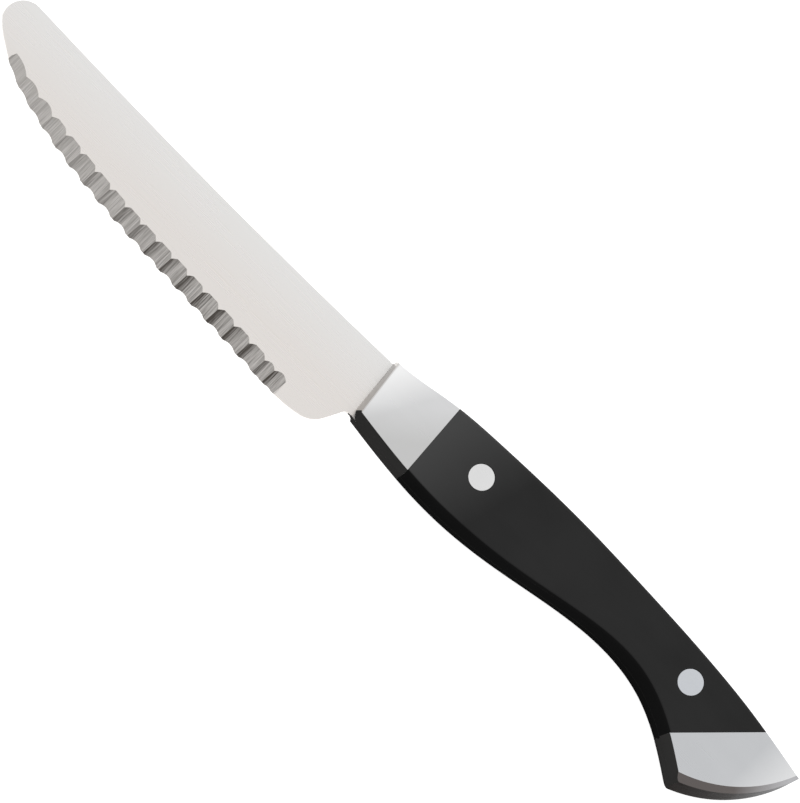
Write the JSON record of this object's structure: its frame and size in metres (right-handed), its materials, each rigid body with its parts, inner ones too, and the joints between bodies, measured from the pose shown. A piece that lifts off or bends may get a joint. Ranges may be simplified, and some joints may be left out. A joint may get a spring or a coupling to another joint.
{
  "type": "steak knife",
  "caption": "Full-tang steak knife: round-tipped blade with a scalloped edge, black riveted scales and a steel bolster at each end of the handle.",
  "frame": {"origin": "bottom centre of the bounding box, with the knife lying on its right side", "axes": "+X from the blade's tip to the handle's butt, +Y from the cutting edge to the spine, +Z out of the left side, which carries the scallops"},
  "size_m": [0.2396, 0.0288, 0.0136],
  "materials": {
    "blade_steel": "fine satin, polished bright",
    "bolster_steel": "satin",
    "black_plastic": "low sheen",
    "rivet_metal": "satin, ground flush with the scales"
  },
  "bodies": {
    "root": {"blade_and_tang": "blade_steel", "front_bolster_left": "bolster_steel", "front_bolster_right": "bolster_steel", "handle_scale_left": "black_plastic", "handle_scale_right": "black_plastic", "rear_bolster_left": "bolster_steel", "rear_bolster_right": "bolster_steel", "front_rivet_socket": "rivet_metal", "front_rivet_post": "rivet_metal", "rear_rivet_socket": "rivet_metal", "rear_rivet_post": "rivet_metal", "front_bolster_pin_upper": "bolster_steel", "front_bolster_pin_lower": "bolster_steel", "rear_bolster_pin_upper": "bolster_steel", "rear_bolster_pin_lower": "bolster_steel"}
  },
  "joints": []
}
